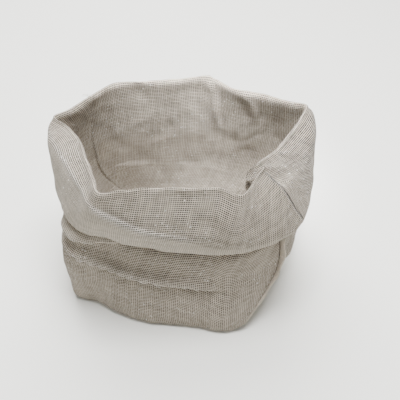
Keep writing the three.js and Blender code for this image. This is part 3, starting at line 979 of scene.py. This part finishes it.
@dataclass
class Panel:
    """One of the two flat pieces of gauze, from its share of the bottom seam to its hem."""

    name: str
    node: str
    first: float
    last: float
    columns_per_section: int
    upright: float  # the place where the threads run straight up
    seam_ridge: float = 0.5
    seam_shade: float = 0.75
    flat: tuple[float, float] = (0.270, 0.285)
    thickness: float = 0.5
    fine_columns: int = 9
    walk_points: int = 60
    turned_levels: tuple[float, float] = (7.2, 7.6)  # outwards changes sides here, from wall to cuff
    shown_levels: tuple[float, float] = (6.9, 7.05)  # the inner side shows from here on
    # Where the band under the cuff's crease begins, whose gaps get a lighter painted shade for the hem
    # behind them, and how softly
    lined_places: tuple[float, ...] = (0, 8.2, 9.6, 10.3, 11.2, 12, 13.5, 15, 16)
    lined_levels: tuple[float, ...] = (8.93, 8.95, 9.02, 9.2, 9.5, 10.2, 10.8, 11.0, 11.2)
    lined_blend: float = 0.1
    loose_pull: float = 0.14
    ease: int = 8  # over how many columns or rows the threads even out what creases take up
    shape: BagShape = field(default_factory=BagShape)
    crinkles: Crinkles = field(default_factory=Crinkles)
    groove: SeamGroove = field(default_factory=SeamGroove)

    @cached_property
    def rows(self) -> Array:
        """The level of each mesh row."""
        parts = [
            np.linspace(level.value, level.value + 1, count, endpoint=False)
            for level, count in ROWS.items()
        ]
        return np.concatenate([*parts, [float(Level.HEM_END.value)]])

    @cached_property
    def crest(self) -> int:
        """The mesh row along the rim."""
        return int(np.argmin(np.abs(self.rows - Level.CREST.value)))

    def grid(self) -> tuple[Array, Array, Array]:
        """The cloth's places, levels and middle points, with a column more beyond each seam."""
        step = 1 / self.columns_per_section
        fine = np.arange(0, self.fine_columns) * step / 2
        middle = np.arange(self.first + fine[-1] + step, self.last - fine[-1] - step / 2, step)
        before, after = [self.first - step / 2], [self.last + step / 2]
        places = np.concatenate([before, self.first + fine, middle, (self.last - fine)[::-1], after])
        levels = np.broadcast_to(self.rows, (len(places), len(self.rows)))
        return places, levels, self.shape.cloth(places, levels)

    @staticmethod
    def normals(points: Array) -> Array:
        """The normals of a grid of points, outward on the wall and towards the body on the cuff."""
        return unit(np.cross(np.gradient(points, axis=0), np.gradient(points, axis=1)))

    def lines(self, points: Array) -> Array:
        """Where creases are laid out: millimetres across from the seam, and down from the rim."""
        steps = np.linalg.norm(np.diff(points, axis=0), axis=-1)
        seen = (self.rows > Level.BELLY.value) & (self.rows < Level.LIP.value)
        across = np.concatenate([[0.0], np.cumsum(steps[:, seen].mean(axis=1))])
        along = runs(points, 1)
        along = along - along[:, self.crest : self.crest + 1]
        return np.stack([np.broadcast_to(across[:, None], along.shape), along], axis=-1)

    def weave(self, places: Array, points: Array) -> Array:
        """Thread coordinates that keep the threads evenly spaced, upright at one place of the panel."""
        across, along = runs(points), runs(points, 1)
        upright = int(np.argmin(np.abs(places - self.upright)))
        return np.stack([across - across[upright], along - along[:, self.crest : self.crest + 1]], axis=-1)

    def crease_height(self, crease: Crease, places: Array, lines: Array) -> tuple[Array, Array]:
        """How far a crease moves each point along its normal, and how pale it paints the threads, for
        pulled threads and a painted highlight.

        Args:
            crease: The crease.
            places: The grid's places.
            lines: Where creases are laid out on the grid.

        Returns:
            Millimetres, and shares from 0, one of each for each point.
        """
        path = np.array(crease.path, float)
        if path[:, 0].max() < self.first or path[:, 0].min() > self.last:
            return np.zeros(lines.shape[:-1]), np.zeros(lines.shape[:-1])
        walk = spline(path, np.linspace(0, len(path) - 1, self.walk_points), False)
        column = np.clip(np.searchsorted(places, walk[:, 0]), 0, len(places) - 1)
        across = np.interp(walk[:, 0], places, lines[:, 0, 0])
        along = np.array([np.interp(w[1], self.rows, lines[c, :, 1]) for w, c in zip(walk, column)])
        line = np.stack([across, along], axis=-1)
        start, step = line[:-1], np.diff(line, axis=0)
        gap = lines[:, :, None, :] - start
        part = np.clip((gap * step).sum(-1) / np.maximum((step**2).sum(-1), TINY), 0, 1)
        rest = gap - step * part[..., None]
        distance = np.linalg.norm(rest, axis=-1)
        nearest = distance.argmin(axis=-1)
        far = distance.min(axis=-1)
        steep = np.abs(line[-1] - line[0]).argmax() == 1
        side = np.take_along_axis(rest[..., 0 if steep else 1], nearest[..., None], -1)[..., 0]
        reached = nearest + np.take_along_axis(part, nearest[..., None], -1)[..., 0]
        height = np.interp(reached, np.arange(len(walk)), walk[:, 2])
        sharp = {
            Fold.SOFT: np.zeros(side.shape, bool),
            Fold.SHARP_BEFORE: side < 0,
            Fold.SHARP_AFTER: side > 0,
        }[crease.fold]
        width = np.where(sharp, crease.width * crease.sharpness, crease.width)
        strongest = np.abs(path[:, 2]).max()
        pulled = crease.pulled * np.abs(height) / strongest * np.exp(-((far / crease.pulled_width) ** 2))
        return height * np.exp(-((far / width) ** 2)), pulled

    def values(
        self, places: Array, levels: Array, pulled: Array, shade: Array
    ) -> dict[ClothValue, Array]:
        """What the mesh carries for its material, on its outer side and then on its inner side.

        Args:
            places: The grid's places.
            levels: The grid's levels.
            pulled: How pale the creases paint the threads, for pulled threads and a painted highlight.
            shade: How dark the seam line's painted shade is.

        Returns:
            For each name, two grids of numbers.
        """
        # Painted light in the gaps: the band under the cuff's crease and the fold under the cuff
        lined_from = np.interp(places, self.lined_places, self.lined_levels)[:, None]
        lined = np.clip((levels - lined_from) / self.lined_blend, 0, 1) * (levels < Level.INNER_LIP.value)
        lined = np.maximum(lined, PAINTED_LIT_FOLD.share(places, levels))
        loose = sum(patch.share(places, levels) for patch in LOOSE_WEAVE)
        grids = {
            ClothValue.PULLED_AND_HIGHLIGHT: np.maximum(pulled, loose * self.loose_pull),
            ClothValue.SEAM_PAINTED_SHADE: shade,
            ClothValue.PAINTED_LIT_GAPS: lined,
            ClothValue.LOOSE: loose,
        }
        shown = np.interp(levels, self.shown_levels, (0, 1))
        return {name: np.stack([grid, grid * shown]) for name, grid in grids.items()}

    def shaped(self) -> tuple[Array, Array, dict[ClothValue, Array]]:
        """The cloth's middle with all its creases, its thread coordinates and its named values."""
        places, levels, points = self.grid()
        lines = self.lines(points)
        height = self.crinkles.height(points)
        pulled = np.zeros(levels.shape)
        for crease in CREASES:
            rise, pale = self.crease_height(crease, places, lines)
            height = height + rise
            pulled = np.maximum(pulled, pale)
        reached = runs(points)
        gap = np.minimum(np.abs(reached - reached[1]), np.abs(reached - reached[-2]))
        height = height + self.groove.height(gap, lines[..., 1], levels, self.seam_ridge)
        shade = self.groove.shade(gap, lines[..., 1], levels, self.seam_shade)
        settled = np.clip(levels - Level.BASE_EDGE.value, 0, 1)
        turned = np.interp(levels, self.turned_levels, (0, 1))
        weave = self.weave(places, points)
        points = points + self.normals(points) * (height * settled * (1 - 2 * turned))[..., None]
        settling = (self.shape.sheet - self.thickness) / 2
        points[..., 2] = np.maximum(points[..., 2] - settling, self.thickness / 2)
        taken_up = self.weave(places, points) - weave
        weave[..., 0] += smoothed(taken_up[..., 0].T, self.ease).T
        weave[..., 1] += smoothed(taken_up[..., 1], self.ease)
        return points, weave, self.values(places, levels, pulled, shade)

    def build(self, finish: bpy.types.Material) -> bpy.types.Object:
        """Args:
            finish: The gauze.

        Returns:
            The panel's object.
        """
        points, threads, values = self.shaped()
        normals = self.normals(points)[1:-1]
        points = points[1:-1]
        half = self.thickness / 2
        faces = np.stack([points + normals * half, points - normals * half])
        faces[..., 2] = np.maximum(faces[..., 2], 0)
        piece = make_mesh(self.name, faces.reshape(-1, 3), sheet_faces(*points.shape[:2]))
        add_threads(piece, threads[1:-1])
        for name, grids in values.items():
            carried = piece.data.attributes.new(name.value, "FLOAT", "POINT")
            carried.data.foreach_set("value", grids[:, 1:-1].ravel().astype(np.float32))
        piece.data.materials.append(finish)
        return dress(piece, self.node)


@dataclass(frozen=True)
class OverlockThread:
    """The matt undyed sewing thread."""

    name: str = "overlock_thread"
    light: Colour = (0.66, 0.61, 0.535)
    dark: Colour = (0.46, 0.42, 0.365)
    mottle: Grain = Grain(900.0, 3.0)
    bump_strength: float = 0.7
    bump_height: float = 0.0003
    fibre: Matt = Matt(roughness=0.95, specular=0.15, sheen=0.1)

    def material(self) -> bpy.types.Material:
        """The material, mottled on the piece's own coordinates."""
        build = SurfaceNodes(self.name)
        mottle = build.noise(build.add("ShaderNodeTexCoord").outputs["Object"], self.mottle)[0]
        colour = build.mix(mottle, self.dark, self.light)
        normal = build.bump(mottle, self.bump_strength, self.bump_height)
        return build.finished(self.fibre.shader(build, colour, normal))


STITCH_INPUTS = {
    "Points": "Geometry", "Loop height": "Float", "Thread radius": "Float", "Uneven": "Float",
    "Seed": "Int", "Finish": "Material",
}


@dataclass(frozen=True)
class OverlockStitches:
    """The loops of thread over a seam's cut edge, repeated along it with Geometry Nodes."""

    pitch: float = 2.2
    least_reach: float = 1.6
    loop_height: float = 1.3
    thread_radius: float = 0.17
    lean: float = 0.3
    uneven: float = 0.12
    loop_points: int = 10
    thread_sides: int = 4
    seed: int = 5

    def loop(self, build: Nodes, given: bpy.types.bpy_prop_collection) -> Socket:
        """One loop of thread, one unit to each side across the edge and of the given height along it."""
        circle = "GeometryNodeCurvePrimitiveCircle"
        ring = build.add(circle, {"Resolution": self.loop_points, "Radius": 1.0})
        thread = build.add(circle, {"Resolution": self.thread_sides, "Radius": given["Thread radius"]})
        size = build.add("ShaderNodeCombineXYZ", {0: MILLIMETRE, 1: given["Loop height"], 2: 1.0})
        oval = build.add("GeometryNodeTransform", {"Geometry": ring.outputs[0], "Scale": size.outputs[0]})
        return build.add("GeometryNodeCurveToMesh", {
            "Curve": oval.outputs[0], "Profile Curve": thread.outputs[0],
        }).outputs[0]

    def tree(self) -> bpy.types.NodeTree:
        """The nodes that put an upright loop on every point and turn it to the point's own frame."""
        tree = bpy.data.node_groups.new("overlock_loops", "GeometryNodeTree")
        for name, kind in STITCH_INPUTS.items():
            tree.interface.new_socket(name, in_out="INPUT", socket_type="NodeSocket" + kind)
        tree.interface.new_socket("Stitches", in_out="OUTPUT", socket_type="NodeSocketGeometry")
        build = Nodes(tree)
        given = build.add("NodeGroupInput").outputs
        turn, reach = (
            build.add("GeometryNodeInputNamedAttribute", {"Name": name}, data_type="FLOAT_VECTOR")
            for name in ("turn", "reach")
        )
        less = build.maths("MULTIPLY", given["Uneven"], -1.0)
        jitter = build.add("FunctionNodeRandomValue", {
            "Min": less, "Max": given["Uneven"], "Seed": given["Seed"],
        }, data_type="FLOAT_VECTOR")
        turned = build.vector("ADD", {0: turn.outputs["Attribute"], 1: jitter.outputs[0]})
        loops = build.add("GeometryNodeInstanceOnPoints", {
            "Points": given["Points"], "Instance": self.loop(build, given), "Rotation": turned,
            "Scale": reach.outputs["Attribute"],
        })
        real = build.add("GeometryNodeRealizeInstances", {0: loops.outputs[0]})
        finish = build.add("GeometryNodeSetMaterial", {
            "Geometry": real.outputs[0], "Material": given["Finish"],
        })
        build.add("NodeGroupOutput", {0: finish.outputs[0]})
        return tree

    def points(self, middle: Array, side: Array) -> tuple[Array, Array, Array]:
        """Where the loops go.

        Args:
            middle: The strip's middle, from its foot outwards and along the seam, (columns, rows, 3).
            side: The strip's sideways directions along the seam, (rows, 3).

        Returns:
            The loops' middles, their turns as Euler angles and their sizes along their own axes.
        """
        outer = middle[-1]
        run = runs(outer)
        at = np.interp(np.arange(self.pitch, run[-1], self.pitch), run, np.arange(len(run)))
        low = at.astype(int)

        def read(values: Array) -> Array:
            """Values at the loops, between those of the rows."""
            high = np.minimum(low + 1, len(values) - 1)
            return values[low] + (values[high] - values[low]) * (at - low)[:, None]

        foot, edge, aside = read(middle[0]), read(outer), unit(read(side))
        reach = np.maximum(np.linalg.norm(edge - foot, axis=-1) / 2, self.least_reach / 2)
        outward = unit(edge - foot)
        leaning = unit(outward + np.cross(outward, aside) * self.lean)
        axes = np.stack([leaning, aside, unit(np.cross(leaning, aside))], axis=-1)
        turns = np.array([list(Matrix(each.tolist()).to_euler()) for each in axes])
        sizes = np.stack([reach, np.ones(len(reach)), np.ones(len(reach))], axis=-1)
        return edge - outward * reach[:, None], turns, sizes

    def build(self, name: str, middle: Array, side: Array, thread: bpy.types.Material) -> bpy.types.Object:
        """Makes one seam's stitches as a plain mesh and dresses them.

        Args:
            name: The object's name.
            middle: The strip's middle, (columns, rows, 3).
            side: Its sideways directions, (rows, 3).
            thread: The sewing thread.

        Returns:
            The stitches' object.
        """
        places, turns, sizes = self.points(middle, side)
        spots = make_mesh(name + "_points", places, np.empty((0, 4), int))
        for label, vectors in (("turn", turns), ("reach", sizes)):
            carried = spots.data.attributes.new(label, "FLOAT_VECTOR", "POINT")
            carried.data.foreach_set("vector", vectors.astype(np.float32).ravel())
        modifier = spots.modifiers.new("loops", "NODES")
        modifier.node_group = self.tree()
        values = {
            "Loop height": self.loop_height / 2 * MILLIMETRE,
            "Thread radius": self.thread_radius * MILLIMETRE,
            "Uneven": self.uneven,
            "Seed": self.seed,
            "Finish": thread,
        }
        for socket in modifier.node_group.interface.items_tree:
            if socket.name in values:
                modifier[socket.identifier] = values[socket.name]
        return dress(plain_mesh(name, spots, thread))


@dataclass
class SeamEdge:
    """The overlocked allowances of a side seam, standing out from the body."""

    name: str
    node: str
    seam: float
    from_level: float = 2.12
    to_level: float = 3.72
    width: float = 4.6
    thickness: float = 0.9
    thinning: float = 0.35
    foot_share: float = 0.16
    full_from: float = 0.75
    widening: float = 1.6
    rows: int = 90
    columns: int = 6
    wave: float = 0.8
    wave_length: float = 19
    wave_growth: float = 1.5
    shape: BagShape = field(default_factory=BagShape)
    stitches: OverlockStitches = field(default_factory=OverlockStitches)

    def path(self) -> tuple[Array, Array, Array, Array]:
        """The seam's line with its outward and sideways directions, and the allowance's width."""
        share = np.linspace(0, 1, self.rows)
        levels = self.from_level + (self.to_level - self.from_level) * share
        places = np.array([self.seam - 0.5, self.seam, self.seam + 0.5])
        points = self.shape.cloth(places, np.broadcast_to(levels, (3, self.rows)))
        across = points[2] - points[0]
        along = np.gradient(points[1], axis=0)
        widened = np.clip(share / self.full_from, 0, 1) ** self.widening
        full = self.foot_share + (1 - self.foot_share) * widened
        return points[1], unit(np.cross(across, along)), unit(across), self.width * full

    def build(self, finish: bpy.types.Material, thread: bpy.types.Material) -> bpy.types.Object:
        """Makes the allowance as a closed wavy strip, with its stitches, and dresses it.

        Args:
            finish: The raw edge of gauze.
            thread: The sewing thread.

        Returns:
            The strip's object.
        """
        line, outward, side, width = self.path()
        run = runs(line)
        reach = np.linspace(0, 1, self.columns)[:, None]
        sway = self.wave * np.sin(run / self.wave_length * 2 * pi) * reach**self.wave_growth
        out = self.shape.sheet / 2 + width * reach
        middle = line + outward * out[..., None] + side * sway[..., None]
        thick = self.thickness / 2 * (1 - self.thinning * reach[..., None])
        faces = np.stack([middle - side * thick, middle + side * thick])
        piece = make_mesh(self.name, faces.reshape(-1, 3), sheet_faces(self.columns, self.rows))
        add_threads(piece, np.stack([np.broadcast_to(run, out.shape), out], axis=-1))
        piece.data.materials.append(finish)
        self.stitches.build(self.name + "_stitches", middle, side, thread)
        return dress(piece, self.node)


@dataclass(frozen=True)
class LooseThreads:
    """The few ends of thread that stand out at the top of the left seam."""

    name: str = "loose_threads"
    radius: float = 0.13
    roundness: int = 1
    steps: int = 5
    order: int = 3
    ends: tuple[tuple[Point, ...], ...] = (
        ((-85, 43, 127.0), (-86.6, 42.4, 129.6), (-88.6, 42.0, 130.4), (-89.8, 41.4, 129.6)),
        ((-85.4, 42.6, 127.0), (-86.0, 41.8, 129.4), (-85.2, 41.0, 131.6)),
        ((-84.6, 43.6, 127.0), (-87.4, 43.2, 128.6), (-90.2, 42.6, 128.2)),
        ((-85, 42.8, 127.0), (-84.4, 42.0, 129.8), (-83.0, 41.6, 130.8), (-82.2, 41.0, 130.0)),
    )

    def build(self, thread: bpy.types.Material) -> bpy.types.Object:
        """Makes the ends as thin round tubes and dresses them."""
        curve = bpy.data.curves.new(self.name + "_lines", "CURVE")
        curve.dimensions = "3D"
        curve.bevel_depth = self.radius * MILLIMETRE
        curve.bevel_resolution = self.roundness
        curve.resolution_u = self.steps
        curve.use_fill_caps = True
        for end in self.ends:
            line = curve.splines.new("NURBS")
            line.points.add(len(end) - 1)
            for point, place in zip(line.points, (np.array(end) - CENTRE) * MILLIMETRE):
                point.co = (*place.tolist(), 1.0)
            line.order_u = self.order
            line.use_endpoint_u = True
        lines = bpy.data.objects.new(self.name + "_lines", curve)
        bpy.context.scene.collection.objects.link(lines)
        return dress(plain_mesh(self.name, lines, thread))


@dataclass(frozen=True)
class Lamp:
    """One soft square light: its place, its side, its power in watts, its target and its spread."""

    name: str
    place: Point
    size: float
    power: float
    target: Point = (0.0, 0.0, 0.06)
    spread: float = 180.0

    def build(self) -> None:
        """Puts the light up, facing its target."""
        data = bpy.data.lights.new(self.name, "AREA")
        data.size = self.size
        data.energy = self.power
        data.spread = radians(self.spread)
        piece = bpy.data.objects.new(self.name, data)
        piece.location = self.place
        facing = Vector(self.target) - Vector(self.place)
        piece.rotation_euler = facing.to_track_quat("-Z", "Y").to_euler()
        bpy.context.scene.collection.objects.link(piece)


@dataclass(frozen=True)
class Studio:
    """The pale floor, the soft light and the camera."""

    floor_size: float = 3.0
    floor_colour: tuple[float, float, float, float] = (0.93, 0.93, 0.885, 1.0)
    floor_surface: Matt = Matt(roughness=0.8, specular=0.2, sheen=0.0)
    room_colour: tuple[float, float, float, float] = (1.0, 0.995, 0.965, 1.0)
    room_strength: float = 0.45
    camera_place: Point = (0.0, -334.8, 340.9)
    camera_tilt: float = 50.0
    lens: float = 50.0
    sensor: float = 36.0
    lamps: tuple[Lamp, ...] = (
        Lamp("key_light", (0.07, -0.02, 0.85), 0.4, 13.3),
        Lamp("back_light", (-0.15, 1.0, 1.15), 1.2, 48.0),
        Lamp("mouth_light", (0.03, -0.2, 0.62), 0.12, 0.34, (0.02, 0.055, 0.118), 19.0),
    )

    def floor(self) -> None:
        """The pale floor under the bag."""
        half = self.floor_size / 2 / MILLIMETRE
        corners = np.array([[-half, -half, 0], [half, -half, 0], [half, half, 0], [-half, half, 0]])
        piece = make_mesh("floor", corners + CENTRE, np.array([[0, 1, 2, 3]]))
        build = SurfaceNodes("pale_floor")
        piece.data.materials.append(build.finished(self.floor_surface.shader(build, self.floor_colour)))

    def world(self) -> None:
        """The even light from all round."""
        world = bpy.data.worlds.new("soft_room")
        world.use_nodes = True
        room = world.node_tree.nodes["Background"]
        room.inputs["Color"].default_value = self.room_colour
        room.inputs["Strength"].default_value = self.room_strength
        bpy.context.scene.world = world

    def camera(self) -> None:
        """The camera at the photograph's angle."""
        data = bpy.data.cameras.new("camera")
        data.lens = self.lens
        data.sensor_width = self.sensor
        camera = bpy.data.objects.new("camera", data)
        camera.location = Vector(((np.array(self.camera_place) - CENTRE) * MILLIMETRE).tolist())
        camera.rotation_euler = (radians(self.camera_tilt), 0, 0)
        bpy.context.scene.collection.objects.link(camera)
        bpy.context.scene.camera = camera

    def build(self) -> None:
        """Sets the whole studio up."""
        self.floor()
        self.world()
        for lamp in self.lamps:
            lamp.build()
        self.camera()


def main() -> None:
    """Builds the bag's pieces and the studio, in order."""
    logging.basicConfig(level=logging.INFO, format="%(name)s %(message)s")
    shape = BagShape()
    right, end = shape.right_seam, shape.sections
    gauze = LinenWeave().material()
    raw_edge = LinenWeave(
        name="raw_edge",
        pitch=1.1,
        warp=Thread(0.38, 0.04, 0.08, 5.0),
        weft=Thread(0.38, 0.04, 0.08, 9.0),
        gap_shade_opacity=1.0,
    ).material()
    thread = OverlockThread().material()
    Panel("front_cloth", "front_panel", 0, right, 14, 10.0, shape=shape).build(gauze)
    Panel("back_cloth", "back_panel", right, end, 12, 25.0, seam_ridge=0.1, shape=shape).build(gauze)
    SeamEdge("left_overlock", "left_seam", 0.0, shape=shape).build(raw_edge, thread)
    SeamEdge("right_overlock", "right_seam", float(right), shape=shape).build(raw_edge, thread)
    LooseThreads().build(thread)
    Studio().build()


if __name__ == "__main__":
    main()
